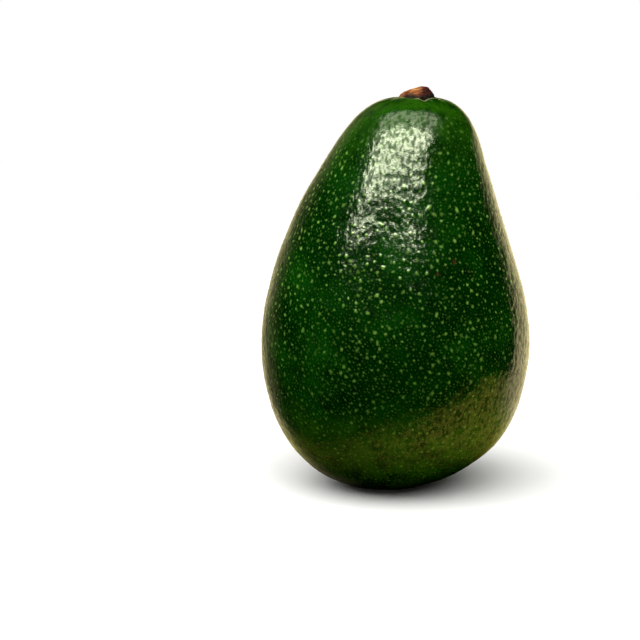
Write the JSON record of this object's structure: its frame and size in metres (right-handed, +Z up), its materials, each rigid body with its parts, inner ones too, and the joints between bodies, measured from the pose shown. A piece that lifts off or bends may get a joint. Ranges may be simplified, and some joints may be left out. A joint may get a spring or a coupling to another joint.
{
  "type": "avocado",
  "caption": "Whole green-skinned avocado, pear-shaped with a leaning neck, standing on a small flat spot at its blossom end, with its woody stem button in a socket at the top.",
  "frame": {"origin": "on the surface that the fruit stands on, under the middle of its widest ring", "axes": "+Z up along the fruit, from the flat spot at its blossom end to the stem button; +X is the way the neck leans; -Y is the front"},
  "size_m": [0.0777, 0.0748, 0.1165],
  "materials": {
    "skin": "satin",
    "stem": "matte"
  },
  "bodies": {
    "root": {"fruit": "skin", "stem_button": "stem"}
  },
  "joints": []
}
